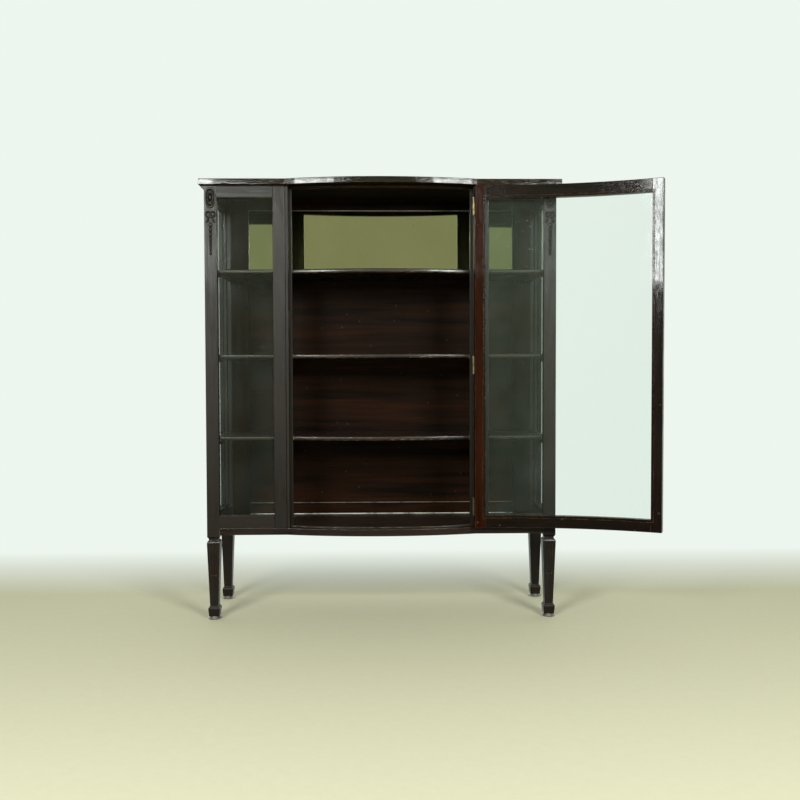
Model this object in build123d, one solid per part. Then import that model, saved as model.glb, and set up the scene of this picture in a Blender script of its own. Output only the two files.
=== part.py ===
from build123d import *
import math
import os

# China cabinet: a mahogany case on four square tapered legs, glazed at both sides and at both ends of
# the front, with one bowed glass door in the middle that swings on three brass butt hinges.
# Millimetres. +X is the cabinet's right seen from the front, +Y its depth towards the back, +Z up.
# The origin is on the floor, midway between the end posts, in the plane of the posts' front faces.

# ---------------------------------------------------------------- driving dimensions
case_half_width = 573.0
case_depth = 311.0
post_size = 41.0
top_z = 1437.0
top_thickness = 19.5
top_side_overhang = 16.0
top_front_overhang = 15.0
top_back_overhang = 3.0
base_bottom_z = 278.5
ledge_z = 301.5
floor_z = 304.5
base_front_lip = 2.0

frame_thickness = 22.0
glass_lip = 10.0
glass_thickness = 3.0
rebate_width = 8.0
glass_gap = 1.0
top_rail_height = 40.0
bottom_rail_height = 41.0
side_recess = 3.0

bow_half_chord = 311.0
bow_rise = 40.0
stile_width = 41.5
opening_half_width = 302.0
door_half_chord = 300.0
door_thickness = 24.0
door_bottom_z = 302.6
door_top_z = 1414.5
door_stile_width = 35.0
door_top_rail_height = 42.0
door_bottom_rail_height = 40.0
door_lip = 11.0
door_stop_gap = 0.6
open_angle = 168.4

pin_y = -5.2
knuckle_radius = 4.2
pin_radius = 2.0
pin_clearance = 0.05
hinge_length = 56.0
hinge_leaf_thickness = 1.5
hinge_leaf_depth = 18.0
hinge_heights = (370.0, 833.0, 1350.0)

shelf_heights = (601.0, 871.0, 1149.0)
shelf_names = ("lower_shelf", "middle_shelf", "upper_shelf")
shelf_thickness = 14.0
shelf_end = 545.0
shelf_back = 268.0
shelf_door_clearance = 6.0

back_stile_inner = 469.0
back_front_y = 270.0
back_frame_thickness = 18.0
back_lip = 6.0
back_joint_z = 1142.0

lock_z = 986.0

# ---------------------------------------------------------------- places worked out from them
post_inner = case_half_width - post_size
rear_post_y = case_depth - post_size
top_bottom_z = top_z - top_thickness
rail_bottom_z = top_bottom_z - top_rail_height
rail_top_z = ledge_z + bottom_rail_height
stile_inner = bow_half_chord
stile_outer = bow_half_chord + stile_width
side_outer = case_half_width - side_recess
side_inner = side_outer - frame_thickness
glass_back = glass_lip + glass_thickness

door_radius = (door_half_chord**2 + bow_rise**2) / (2 * bow_rise)
door_inner_radius = door_radius - door_thickness
door_half_angle = math.asin(door_half_chord / door_radius)
door_centre_y = door_radius - bow_rise
door_stile_angle = door_stile_width / door_radius
door_sight_angle = door_half_angle - door_stile_angle
rebate_angle = rebate_width / door_radius
door_sight_bottom = door_bottom_z + door_bottom_rail_height
door_sight_top = door_top_z - door_top_rail_height
edge_slope = math.degrees(door_half_angle)
# The pin stands on the line of the door's hinge edge, so that edge leaves its jamb squarely.
pin_x = door_half_chord - pin_y * math.tan(door_half_angle)

parts = {}


# ---------------------------------------------------------------- shape helpers
def block(x0, x1, y0, y1, z0, z1):
    """A box given by its six faces."""
    centre = Pos((x0 + x1) / 2, (y0 + y1) / 2, (z0 + z1) / 2)
    return centre * Box(abs(x1 - x0), abs(y1 - y0), abs(z1 - z0))


def both_sides(make):
    """The solids of make(side) for the left side, -1, and the right side, +1."""
    return [make(-1), make(1)]


def group(solids):
    """Several separate solids as one node."""
    return Compound(children=[s for shape in solids for s in shape.solids()])


def along(shape, axis, test):
    """Edges of a shape that run along an axis and whose centre passes a test."""
    return [e for e in shape.edges().filter_by(axis) if test(e.center())]


def bowed_outline(half_width, front_y, back_y, half_chord, rise):
    """A rectangle whose front has a shallow arc pushed out of its middle."""
    line = Polyline(
        (-half_chord, front_y),
        (-half_width, front_y),
        (-half_width, back_y),
        (half_width, back_y),
        (half_width, front_y),
        (half_chord, front_y),
    )
    arc = ThreePointArc((half_chord, front_y), (0, front_y - rise), (-half_chord, front_y))
    return make_face(line + arc)


def slab(outline, z0, z1):
    """An outline raised from one height to another."""
    return Pos(0, 0, z0) * extrude(outline, amount=z1 - z0)


def arc_point(radius, angle):
    """A point of the closed door in plan, with the angle counted from its middle towards +X."""
    return (radius * math.sin(angle), door_centre_y - radius * math.cos(angle))


def sector(inner, outer, start, end, z0, z1):
    """A piece of the closed door's curve between two radii, two angles and two heights."""
    middle = (start + end) / 2
    edges = [
        ThreePointArc(arc_point(outer, start), arc_point(outer, middle), arc_point(outer, end)),
        Line(arc_point(outer, end), arc_point(inner, end)),
        ThreePointArc(arc_point(inner, end), arc_point(inner, middle), arc_point(inner, start)),
        Line(arc_point(inner, start), arc_point(outer, start)),
    ]
    return slab(make_face(edges), z0, z1)


def swing(shape):
    """A piece of the door turned about the hinge pins from closed to its stored place."""
    return Pos(pin_x, pin_y, 0) * Rot(0, 0, open_angle) * Pos(-pin_x, -pin_y, 0) * shape


def at_lock_edge(shape):
    """Puts a shape on the closed door's lock edge: its +X leaves the edge, its +Y goes into the case."""
    x, y = arc_point(door_radius, -door_half_angle)
    return Pos(x, y, lock_z) * Rot(0, 0, -edge_slope) * mirror(shape, Plane.YZ)


def screw(head_radius, length):
    """A countersunk wood screw, head up at the origin, with a slot across its head."""
    shank_radius = head_radius * 0.45
    profile = Polyline(
        (0, 0),
        (head_radius, 0),
        (shank_radius, -head_radius * 0.6),
        (shank_radius * 0.8, -length * 0.7),
        (0, -length),
        (0, 0),
    )
    body = revolve(make_face(Plane.XZ * profile), Axis.Z)
    slot = block(-head_radius, head_radius, -0.4, 0.4, -0.7, 0.1)
    return body - slot


def screw_void(head_radius, length):
    """The hole that a screw fills."""
    return screw(head_radius, length) + block(-head_radius, head_radius, -0.4, 0.4, -0.7, 0)


# ---------------------------------------------------------------- top
bead_groove_z = top_z - 6.0
bead_groove_height = 1.2
bead_groove_depth = 1.0


def top_outline(inset):
    """The top board's outline, drawn in by an inset on its front and ends."""
    return bowed_outline(
        case_half_width + top_side_overhang - inset,
        -top_front_overhang + inset,
        case_depth + top_back_overhang,
        bow_half_chord,
        bow_rise,
    )


def make_top_board():
    """The bowed top board, with rounded arrises and a fine groove under its top edge."""
    board = slab(top_outline(0), top_bottom_z, top_z)
    board = fillet(board.faces().sort_by(Axis.Z)[-1].edges(), 2.5)
    board = fillet(board.faces().sort_by(Axis.Z)[0].edges(), 1.2)
    ring = slab(top_outline(-2), bead_groove_z, bead_groove_z + bead_groove_height)
    ring -= slab(top_outline(bead_groove_depth), bead_groove_z, bead_groove_z + bead_groove_height)
    return board - ring


def side_moulding(side):
    """The cove moulding in the angle between the top board and one end of the case."""
    size = 11.0
    land = 2.0
    outline = [
        Line((0, 0), (size, 0)),
        Line((size, 0), (size, -land)),
        RadiusArc((size, -land), (land, -size), size),
        Line((land, -size), (0, -size)),
        Line((0, -size), (0, 0)),
    ]
    section = Plane.XZ * make_face(outline)
    run = Pos(case_half_width, case_depth, top_bottom_z) * extrude(section, amount=case_depth)
    return run if side > 0 else mirror(run, Plane.YZ)


parts["top_board"] = make_top_board()
parts["top_side_mouldings"] = group(both_sides(side_moulding))


# ---------------------------------------------------------------- posts with their legs and glides
glide_height = 10.0
glide_radius = 24.0
glide_rim_height = 3.0
glide_top_radius = 16.5
# Height and half width of the leg's square section, from the foot's sole to the post's underside.
leg_sections = (
    (glide_height, 16.8),
    (33.5, 19.2),
    (38.0, 18.4),
    (43.5, 13.8),
    (252.5, 21.4),
    (257.0, 19.6),
    (261.0, 15.8),
    (266.5, 15.8),
    (272.5, 20.5),
)
flute_radius = 3.4
flute_depth = 1.3
flute_pitch = 8.6
flute_bottom_z = 146.0
flute_top_z = 246.0
tenon_thickness = 8.0
tenon_length = 18.0
tenon_setback = 7.0


def square_section(z, half):
    """A square of the leg's section at one height."""
    return Pos(0, 0, z) * Rectangle(2 * half, 2 * half)


def leg_half_width(z):
    """Half the width of the leg's long taper at one height."""
    (z0, half0), (z1, half1) = leg_sections[3:5]
    return half0 + (half1 - half0) * (z - z0) / (z1 - z0)


def flute(offset):
    """One shallow round-ended flute on the leg's -Y face."""
    low = Vector(offset * 0.9, -leg_half_width(flute_bottom_z) - flute_radius + flute_depth, flute_bottom_z)
    high = Vector(offset, -leg_half_width(flute_top_z) - flute_radius + flute_depth, flute_top_z)
    spine = high - low
    plane = Plane(origin=low, z_dir=spine)
    rod = extrude(plane * Circle(flute_radius), amount=spine.length)
    ends = [Pos(*p) * Sphere(flute_radius) for p in (low, high)]
    return rod + ends[0] + ends[1]


def leg(fluted_turns):
    """A leg about its own axis, fluted on the faces reached by the given turns about +Z."""
    shape = loft([square_section(z, half) for z, half in leg_sections], ruled=True)
    for turn in fluted_turns:
        for step in (-1, 0, 1):
            shape -= Rot(0, 0, turn) * flute(step * flute_pitch)
    return shape


def make_post(side, rear):
    """One corner post and its leg, rebated for the glass that meets it."""
    x0 = post_inner if side > 0 else -case_half_width
    y0 = rear_post_y if rear else 0
    post = block(x0, x0 + post_size, y0, y0 + post_size, leg_sections[-1][0], top_bottom_z)
    post = fillet(post.edges().filter_by(Axis.Z), 1.5)
    centre = Pos(side * (post_inner + post_size / 2), y0 + post_size / 2, 0)
    turns = () if rear else (0, 90 * side)
    post += centre * leg(turns)
    low = rail_top_z - rebate_width
    high = rail_bottom_z + rebate_width
    glass_x = side_outer - glass_lip
    if rear:
        side_rebate = (rear_post_y - 1, rear_post_y + rebate_width)
    else:
        side_rebate = (post_size - rebate_width, post_size + 1)
        front_x = (post_inner - 1, post_inner + rebate_width)
        post -= block(side * front_x[0], side * front_x[1], glass_lip, post_size + 1, low, high)
    post -= block(side * (post_inner - 1), side * glass_x, *side_rebate, low, high)
    return post


def make_glide(x, y):
    """A pressed steel glide under a foot: a saucer with a rounded rim, and its nail."""
    rim = Pos(x, y, glide_rim_height / 2) * Cylinder(glide_radius, glide_rim_height)
    rim = fillet(rim.edges().sort_by(Axis.Z)[0], 1.5)
    rise = glide_height - glide_rim_height
    dome = Pos(x, y, glide_rim_height + rise / 2) * Cone(glide_radius - 1.0, glide_top_radius, rise)
    nail = Pos(x, y, glide_height + 9) * Cylinder(1.5, 18)
    return rim + dome + nail


posts = {
    "front_left_post": make_post(-1, False),
    "front_right_post": make_post(1, False),
    "rear_left_post": make_post(-1, True),
    "rear_right_post": make_post(1, True),
}
leg_axis_x = post_inner + post_size / 2
leg_axis_y = (post_size / 2, rear_post_y + post_size / 2)
leg_places = [(x, y) for x in (-leg_axis_x, leg_axis_x) for y in leg_axis_y]
glides = [make_glide(x, y) for x, y in leg_places]
for name in posts:
    for glide in glides:
        posts[name] -= glide
parts["foot_glides"] = group(glides)


# ---------------------------------------------------------------- bottom board
floor_bow_depth = 120.0
floor_bow_half_angle = 0.24
wide_half_angle = 0.3
notch_clear_z = (200.0, 400.0)


def raised_floor():
    """The part of the bottom board behind the door and frames, a step higher than its front ledge."""
    step_y = door_thickness + door_stop_gap
    floor = block(-side_inner + 0.5, side_inner - 0.5, step_y, back_front_y, ledge_z, floor_z)
    bow = sector(
        door_inner_radius - floor_bow_depth, door_inner_radius - door_stop_gap,
        -floor_bow_half_angle, floor_bow_half_angle, ledge_z, floor_z,
    )
    bow &= block(-opening_half_width + 10, opening_half_width - 10, -60, step_y + 5, ledge_z, floor_z)
    return floor + bow


def make_bottom_board():
    """The bottom board, notched round the posts, with its front bowed like the top's."""
    outline = bowed_outline(side_outer, -base_front_lip, case_depth - 3, bow_half_chord, bow_rise)
    board = slab(outline, base_bottom_z, ledge_z)
    mid_z = (base_bottom_z + ledge_z) / 2
    front = board.edges().filter_by(lambda e: e.center().Y < base_front_lip)
    board = fillet(front.filter_by(lambda e: abs(e.center().Z - mid_z) > 5), 2.0)
    board += raised_floor()
    for side in (-1, 1):
        for y0 in (-10, rear_post_y):
            y1 = post_size if y0 < 0 else case_depth
            board -= block(side * post_inner, side * (case_half_width + 5), y0, y1, *notch_clear_z)
    return board


parts["bottom_board"] = make_bottom_board()


# ---------------------------------------------------------------- glazed frames of the front ends
top_tenon_z = (top_bottom_z - 30, top_bottom_z - 8)
bottom_tenon_z = (ledge_z + 6, ledge_z + 28)
rail_spans = {"top": (rail_bottom_z, top_bottom_z), "bottom": (ledge_z, rail_top_z)}
tenon_spans = {"top": top_tenon_z, "bottom": bottom_tenon_z}
rebate_spans = {
    "top": (rail_bottom_z - 1, rail_bottom_z + rebate_width),
    "bottom": (rail_top_z - rebate_width, rail_top_z + 1),
}


def side_word(side):
    return "right" if side > 0 else "left"


def sight_edge(shape, level, keep):
    """Rounds a rail's arris along its glass, on the visible side only."""
    z = rail_bottom_z if level == "top" else rail_top_z
    edges = [e for e in shape.edges() if abs(e.center().Z - z) < 0.1 and keep(e.center())]
    return fillet(edges, 1.6)


for side in (-1, 1):
    word = side_word(side)
    front_post = f"front_{word}_post"
    rear_post = f"rear_{word}_post"
    stile = block(side * stile_inner, side * stile_outer, 0, frame_thickness, ledge_z, top_bottom_z)
    stile = fillet(along(stile, Axis.Z, lambda c: abs(c.Y) < 0.1), 3.0)
    stile -= block(
        side * (stile_outer - rebate_width),
        side * (stile_outer + 1),
        glass_lip,
        frame_thickness + 1,
        rail_top_z - rebate_width,
        rail_bottom_z + rebate_width,
    )
    for level in ("top", "bottom"):
        z0, z1 = rail_spans[level]
        rail = block(side * stile_outer, side * post_inner, 0, frame_thickness, z0, z1)
        rail = sight_edge(rail, level, lambda c: abs(c.Y) < 0.1)
        rail -= block(
            side * (stile_outer - 1), side * (post_inner + 1), glass_lip, frame_thickness + 1,
            *rebate_spans[level],
        )
        tenon = block(
            side * (stile_outer - tenon_length),
            side * (post_inner + tenon_length),
            tenon_setback,
            tenon_setback + tenon_thickness,
            *tenon_spans[level],
        )
        stile -= tenon
        posts[front_post] -= tenon
        parts[f"{word}_front_{level}_rail"] = rail + tenon

        rail = block(side * side_inner, side * side_outer, post_size, rear_post_y, z0, z1)
        rail = sight_edge(rail, level, lambda c: abs(abs(c.X) - side_outer) < 0.1)
        rail -= block(
            side * (side_inner - 1), side * (side_outer - glass_lip), post_size - 1, rear_post_y + 1,
            *rebate_spans[level],
        )
        tenon = block(
            side * (side_outer - tenon_setback),
            side * (side_outer - tenon_setback - tenon_thickness),
            post_size - tenon_length + 4,
            rear_post_y + tenon_length - 4,
            *tenon_spans[level],
        )
        posts[front_post] -= tenon
        posts[rear_post] -= tenon
        parts[f"{word}_side_{level}_rail"] = rail + tenon
    parts[f"{word}_front_stile"] = stile
parts.update(posts)

# Glass panes stand a little short of their rebates all round.
pane_low = rail_top_z - rebate_width + glass_gap
pane_high = rail_bottom_z + rebate_width - glass_gap
bead_low = rail_top_z - rebate_width
bead_high = rail_bottom_z + rebate_width
for side in (-1, 1):
    word = side_word(side)
    parts[f"{word}_front_glass"] = block(
        side * (stile_outer - rebate_width + glass_gap),
        side * (post_inner + rebate_width - glass_gap),
        glass_lip,
        glass_back,
        pane_low,
        pane_high,
    )
    parts[f"{word}_side_glass"] = block(
        side * (side_outer - glass_lip),
        side * (side_outer - glass_back),
        post_size - rebate_width + glass_gap,
        rear_post_y + rebate_width - glass_gap,
        pane_low,
        pane_high,
    )


def front_beads(side):
    """Four beads that hold one front pane in its rebate from inside."""
    depth = (glass_back, frame_thickness)
    strips = [
        block(side * (stile_outer - rebate_width), side * stile_outer, *depth, bead_low, bead_high),
        block(side * post_inner, side * (post_inner + rebate_width), *depth, bead_low, bead_high),
        block(side * stile_outer, side * post_inner, *depth, bead_low, rail_top_z),
        block(side * stile_outer, side * post_inner, *depth, rail_bottom_z, bead_high),
    ]
    return group(strips)


def side_beads(side):
    """Four beads that hold one end pane in its rebate from inside."""
    depth = (side * side_inner, side * (side_outer - glass_back))
    strips = [
        block(*depth, post_size - rebate_width, post_size, bead_low, bead_high),
        block(*depth, rear_post_y, rear_post_y + rebate_width, bead_low, bead_high),
        block(*depth, post_size, rear_post_y, bead_low, rail_top_z),
        block(*depth, post_size, rear_post_y, rail_bottom_z, bead_high),
    ]
    return group(strips)


parts["front_glass_beads"] = group(both_sides(front_beads))
parts["side_glass_beads"] = group(both_sides(side_beads))


# ---------------------------------------------------------------- door opening: jambs, stops, header
header_bottom_z = 1411.0
header_depth = 20.0
stop_depth = 9.0


def make_jamb(side):
    """The lining of one side of the door opening, set back a little from the stile beside it."""
    jamb = block(side * opening_half_width, side * stile_inner, 1.5, door_thickness, ledge_z, top_bottom_z)
    return fillet(along(jamb, Axis.Z, lambda c: c.Y < 2), 1.5)


def make_stop(side):
    """The strip that the closed door's edge meets."""
    low_y = door_thickness + door_stop_gap
    x = (side * (opening_half_width - 10), side * opening_half_width)
    stop = block(*x, low_y, low_y + stop_depth, floor_z, header_bottom_z)
    return fillet(along(stop, Axis.Z, lambda c: abs(c.X) < opening_half_width - 9), 1.5)


def make_header():
    """The bowed rail over the opening, just behind the closed door."""
    face_radius = door_inner_radius - door_stop_gap
    rail = sector(
        face_radius - header_depth, face_radius, -wide_half_angle, wide_half_angle,
        header_bottom_z, top_bottom_z,
    )
    edge = [e for e in rail.edges() if abs(e.center().Z - header_bottom_z) < 0.1]
    rail = fillet([e for e in edge if e.geom_type == GeomType.CIRCLE and e.radius > face_radius - 1], 2.0)
    reach = 2 * bow_rise
    return rail & block(
        -opening_half_width, opening_half_width, -reach, reach, header_bottom_z, top_bottom_z
    )


for side in (-1, 1):
    parts[f"{side_word(side)}_jamb"] = make_jamb(side)
    parts[f"{side_word(side)}_door_stop"] = make_stop(side)
parts["header_rail"] = make_header()


# ---------------------------------------------------------------- back: frame, panel and mirror
back_rear_y = back_front_y + back_frame_thickness
back_glass_y = back_front_y + back_lip
mirror_thickness = 4.0
back_sheet_edge = back_stile_inner + 7.0
mirror_sight_top = 1384.0
back_bottom_rail_top = 346.0
back_sheet_top = mirror_sight_top + 7.0


def make_back_stile(side):
    """A wide upright of the back frame, rebated behind for the mirror and the panel."""
    stile = block(
        side * back_stile_inner, side * post_inner, back_front_y, back_rear_y, ledge_z, top_bottom_z
    )
    seen = along(stile, Axis.Z, lambda c: c.Y < back_front_y + 1 and abs(c.X) < post_inner - 1)
    stile = fillet(seen, 1.5)
    rebate_x = (side * (back_stile_inner - 1), side * (back_stile_inner + rebate_width))
    return stile - block(
        *rebate_x, back_glass_y, back_rear_y + 1, ledge_z - 1, mirror_sight_top + rebate_width
    )


def make_back_top_rail():
    """The back frame's top rail, rebated behind for the mirror."""
    rail = block(
        -back_stile_inner, back_stile_inner, back_front_y, back_rear_y, mirror_sight_top, top_bottom_z
    )
    low = rail.edges().filter_by(Axis.X).filter_by(lambda e: e.center().Z < mirror_sight_top + 1)
    rail = fillet([e for e in low if e.center().Y < back_front_y + 1], 1.5)
    rebate = block(
        -back_stile_inner - 1, back_stile_inner + 1, back_glass_y, back_rear_y + 1,
        mirror_sight_top - 1, mirror_sight_top + rebate_width,
    )
    return rail - rebate


def make_back_bottom_rail():
    """The back frame's bottom rail, standing on the floor and rebated behind for the panel."""
    rail = block(
        -back_stile_inner, back_stile_inner, back_front_y, back_rear_y, floor_z, back_bottom_rail_top
    )
    high = rail.edges().filter_by(Axis.X).filter_by(lambda e: e.center().Z > back_bottom_rail_top - 1)
    rail = fillet([e for e in high if e.center().Y < back_front_y + 1], 1.5)
    rebate = block(
        -back_stile_inner - 1, back_stile_inner + 1, back_glass_y, back_rear_y + 1,
        back_bottom_rail_top - rebate_width, back_bottom_rail_top + 1,
    )
    return rail - rebate


def make_mirror():
    """The plain mirror plate behind the back frame's lips."""
    return block(
        -back_sheet_edge, back_sheet_edge, back_glass_y, back_glass_y + mirror_thickness,
        back_joint_z + 0.5, back_sheet_top,
    )


for side in (-1, 1):
    parts[f"back_{side_word(side)}_stile"] = make_back_stile(side)
parts["back_top_rail"] = make_back_top_rail()
parts["back_middle_rail"] = block(
    -back_stile_inner, back_stile_inner, shelf_back + 0.5, back_glass_y,
    back_joint_z - 6.5, back_joint_z + 6.5,
)
parts["mirror"] = make_mirror()
parts["mirror_backing"] = block(
    -back_sheet_edge, back_sheet_edge, back_glass_y + mirror_thickness, back_rear_y - 2,
    back_joint_z + 0.5, back_sheet_top,
)
parts["back_bottom_rail"] = make_back_bottom_rail()
parts["back_panel"] = block(
    -back_sheet_edge, back_sheet_edge, back_glass_y, back_rear_y - 2,
    back_bottom_rail_top - rebate_width, back_joint_z - 0.5,
)


# ---------------------------------------------------------------- shelves, cleats and screw eyes
cleat_height = 12.0
eye_z = 1117.0
eye_x = 499.0


def shelf_outline():
    """A shelf in plan: notched round the front posts, bowed in the middle behind the door."""
    front_y = frame_thickness + 4.0
    radius = door_inner_radius - shelf_door_clearance
    bow_end = math.acos((door_centre_y - front_y) / radius)
    corner = arc_point(radius, bow_end)
    side_points = [
        (corner[0], front_y),
        (post_inner - 1, front_y),
        (post_inner - 1, post_size + 2),
        (shelf_end, post_size + 2),
        (shelf_end, shelf_back),
    ]
    right = Polyline(*side_points)
    back = Line((shelf_end, shelf_back), (-shelf_end, shelf_back))
    left = Polyline(*[(-x, y) for x, y in reversed(side_points)])
    bow = ThreePointArc((-corner[0], front_y), arc_point(radius, 0), (corner[0], front_y))
    return make_face([*right.edges(), *back.edges(), *left.edges(), *bow.edges()])


def make_shelf(top):
    """A shelf with a rounded front edge, notched round the door stops."""
    shelf = slab(shelf_outline(), top - shelf_thickness, top)
    front = [
        e for e in shelf.edges()
        if e.center().Y < frame_thickness + 5 and abs(e.center().Z - (top - shelf_thickness / 2)) > 1
    ]
    shelf = fillet(front, shelf_thickness * 0.36)
    for side in (-1, 1):
        gap = (side * (opening_half_width - 11), side * (opening_half_width + 1))
        shelf -= block(*gap, 0, door_thickness + door_stop_gap + stop_depth + 1, top - 40, top + 40)
    return shelf


def shelf_cleats(top):
    """Four small blocks under a shelf, two on the front posts and two on the back stiles."""
    under = top - shelf_thickness
    blocks = []
    for side in (-1, 1):
        front = block(
            side * (post_inner - 12), side * (post_inner + rebate_width),
            frame_thickness + 1.5, post_size - rebate_width - 0.5, under - cleat_height, under,
        )
        rear = block(
            side * (post_inner - 24), side * (post_inner - 2), back_front_y - 14, back_front_y,
            under - cleat_height, under,
        )
        blocks += [front, rear]
    return blocks


def screw_eye(side):
    """A small brass screw eye in a back stile."""
    ring_radius = 4.2
    wire = 1.1
    centre_y = back_front_y - 4 - ring_radius
    ring = Pos(0, centre_y, 0) * Rot(0, 90, 0) * Torus(ring_radius, wire)
    shank = extrude(Plane(origin=(0, back_front_y - 4.2, 0), z_dir=(0, 1, 0)) * Circle(wire), amount=14)
    collar = extrude(Plane(origin=(0, back_front_y - 1.2, 0), z_dir=(0, 1, 0)) * Circle(2.4), amount=1.2)
    return Pos(side * eye_x, 0, eye_z) * (ring + shank + collar)


for name, height in zip(shelf_names, shelf_heights):
    parts[name] = make_shelf(height)
parts["shelf_cleats"] = group([c for height in shelf_heights for c in shelf_cleats(height)])
eyes = both_sides(screw_eye)
parts["screw_eyes"] = group(eyes)
for side, eye in zip((-1, 1), eyes):
    parts[f"back_{side_word(side)}_stile"] -= eye


# ---------------------------------------------------------------- door frame and glass
door_glass_outer = door_radius - door_lip
door_glass_inner = door_glass_outer - glass_thickness
rebate_low = door_sight_bottom - rebate_width
rebate_high = door_sight_top + rebate_width
door_tenon_radii = (door_radius - 15.0, door_radius - 8.0)
door_tenon_angle = 20.0 / door_radius


def round_arrises(shape, radius):
    """Rounds the four uprights of a door stile, then its arcs at both ends."""
    shape = fillet([e for e in shape.edges() if abs(e.tangent_at(0.5).Z) > 0.9], radius)
    arcs = [e for e in shape.edges() if e.geom_type == GeomType.CIRCLE and e.length > 10 * radius]
    return fillet(arcs, radius)


def make_door_stile(side):
    """An upright of the door, cut square to the door's curve and rebated for the glass."""
    outer = side * door_half_angle
    sight = side * door_sight_angle
    stile = sector(door_inner_radius, door_radius, outer, sight, door_bottom_z, door_top_z)
    stile = round_arrises(stile, 1.5)
    rebate = (side * (door_sight_angle - rebate_angle), side * (door_sight_angle + rebate_angle))
    return stile - sector(door_inner_radius - 2, door_glass_outer, *rebate, rebate_low, rebate_high)


def make_door_rail(z0, z1, rebate_z, tenon_z):
    """A bowed rail of the door with its tenons, rebated for the glass."""
    rail = sector(door_inner_radius, door_radius, -door_sight_angle, door_sight_angle, z0, z1)
    arcs = [e for e in rail.edges() if e.geom_type == GeomType.CIRCLE]
    rail = fillet(arcs, 1.5)
    rail -= sector(door_inner_radius - 2, door_glass_outer, -wide_half_angle, wide_half_angle, *rebate_z)
    reach = door_sight_angle + door_tenon_angle
    tenon = sector(*door_tenon_radii, -reach, reach, *tenon_z)
    return rail + tenon, tenon


def make_door_beads():
    """The four beads that hold the door's glass in its rebate from inside."""
    radii = (door_inner_radius + 0.8, door_glass_inner)
    far = door_sight_angle + rebate_angle
    return group([
        sector(*radii, -far, -door_sight_angle, rebate_low, rebate_high),
        sector(*radii, door_sight_angle, far, rebate_low, rebate_high),
        sector(*radii, -door_sight_angle, door_sight_angle, rebate_low, door_sight_bottom),
        sector(*radii, -door_sight_angle, door_sight_angle, door_sight_top, rebate_high),
    ])


lock_stile = make_door_stile(-1)
hinge_stile = make_door_stile(1)
top_rail, top_tenon = make_door_rail(
    door_sight_top, door_top_z, (door_sight_top - 1, rebate_high), (rebate_high + 4, door_top_z - 8)
)
bottom_rail, bottom_tenon = make_door_rail(
    door_bottom_z, door_sight_bottom, (rebate_low, door_sight_bottom + 1),
    (door_bottom_z + 6, rebate_low - 4),
)
for tenon in (top_tenon, bottom_tenon):
    lock_stile -= tenon
    hinge_stile -= tenon
glass_reach = door_sight_angle + (rebate_width - glass_gap) / door_radius
door_glass = sector(
    door_glass_inner, door_glass_outer, -glass_reach, glass_reach,
    rebate_low + glass_gap, rebate_high - glass_gap,
)


# ---------------------------------------------------------------- hinges
knuckle_count = 5
knuckle_gap = 0.15
knuckle_clearance = 0.4
leaf_screw_depths = (5.5, 12.5)
leaf_screw_rise = 17.0
leaf_screw_radius = 2.6
leaf_screw_length = 14.0
knuckle_pitch = hinge_length / knuckle_count


def knuckles(centre_z, own):
    """The barrel rings of one leaf, those whose number is in own, with the pin's hole."""
    rings = []
    for i in own:
        low = centre_z - hinge_length / 2 + i * knuckle_pitch
        ring = Pos(pin_x, pin_y, low + knuckle_pitch / 2) * Cylinder(
            knuckle_radius, knuckle_pitch - 2 * knuckle_gap
        )
        rings.append(ring)
    return rings


def hinge_leaf(plate, centre_z, own):
    """A leaf: its plate, cleared round the other leaf's knuckles, and its own knuckles."""
    others = [i for i in range(knuckle_count) if i not in own]
    for i in others:
        low = centre_z - hinge_length / 2 + i * knuckle_pitch
        plate -= Pos(pin_x, pin_y, low + knuckle_pitch / 2) * Cylinder(
            knuckle_radius + knuckle_clearance, knuckle_pitch
        )
    leaf = plate
    for ring in knuckles(centre_z, own):
        leaf += ring
    return leaf - Pos(pin_x, pin_y, centre_z) * Cylinder(pin_radius + pin_clearance, hinge_length + 10)


def frame_leaf(centre_z):
    """The leaf on the jamb, let in flush with the reveal."""
    half = hinge_length / 2
    plate = block(
        opening_half_width, opening_half_width + hinge_leaf_thickness, pin_y, hinge_leaf_depth,
        centre_z - half, centre_z + half,
    )
    return hinge_leaf(plate, centre_z, (0, 2, 4))


def at_hinge_edge(shape):
    """Puts a shape on the closed door's hinge edge: its +X leaves the edge, its +Y goes into the case."""
    x, y = arc_point(door_radius, door_half_angle)
    return Pos(x, y, 0) * Rot(0, 0, edge_slope) * shape


def door_leaf(centre_z):
    """The leaf on the door's edge, let in flush."""
    half = hinge_length / 2
    reach = pin_y / math.cos(door_half_angle)
    plate = at_hinge_edge(
        block(-hinge_leaf_thickness, 0, reach, hinge_leaf_depth, centre_z - half, centre_z + half)
    )
    return hinge_leaf(plate, centre_z, (1, 3))


def hinge_pin(centre_z):
    """A loose pin with a small button at each end."""
    rod = Pos(pin_x, pin_y, centre_z) * Cylinder(pin_radius, hinge_length + 2)
    for end in (-1, 1):
        button = Pos(pin_x, pin_y, centre_z + end * (hinge_length / 2 + 1.2)) * Cylinder(3.2, 2.0)
        rod += fillet(button.edges(), 0.8)
    return rod


def leaf_screws(centre_z):
    """Four screw places of a leaf, as (depth, height) pairs."""
    deep = leaf_screw_depths
    rises = [rise * leaf_screw_rise for rise in (-1, -0.35, 0.35, 1)]
    return [(deep[i % 2], centre_z + rise) for i, rise in enumerate(rises)]


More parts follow.
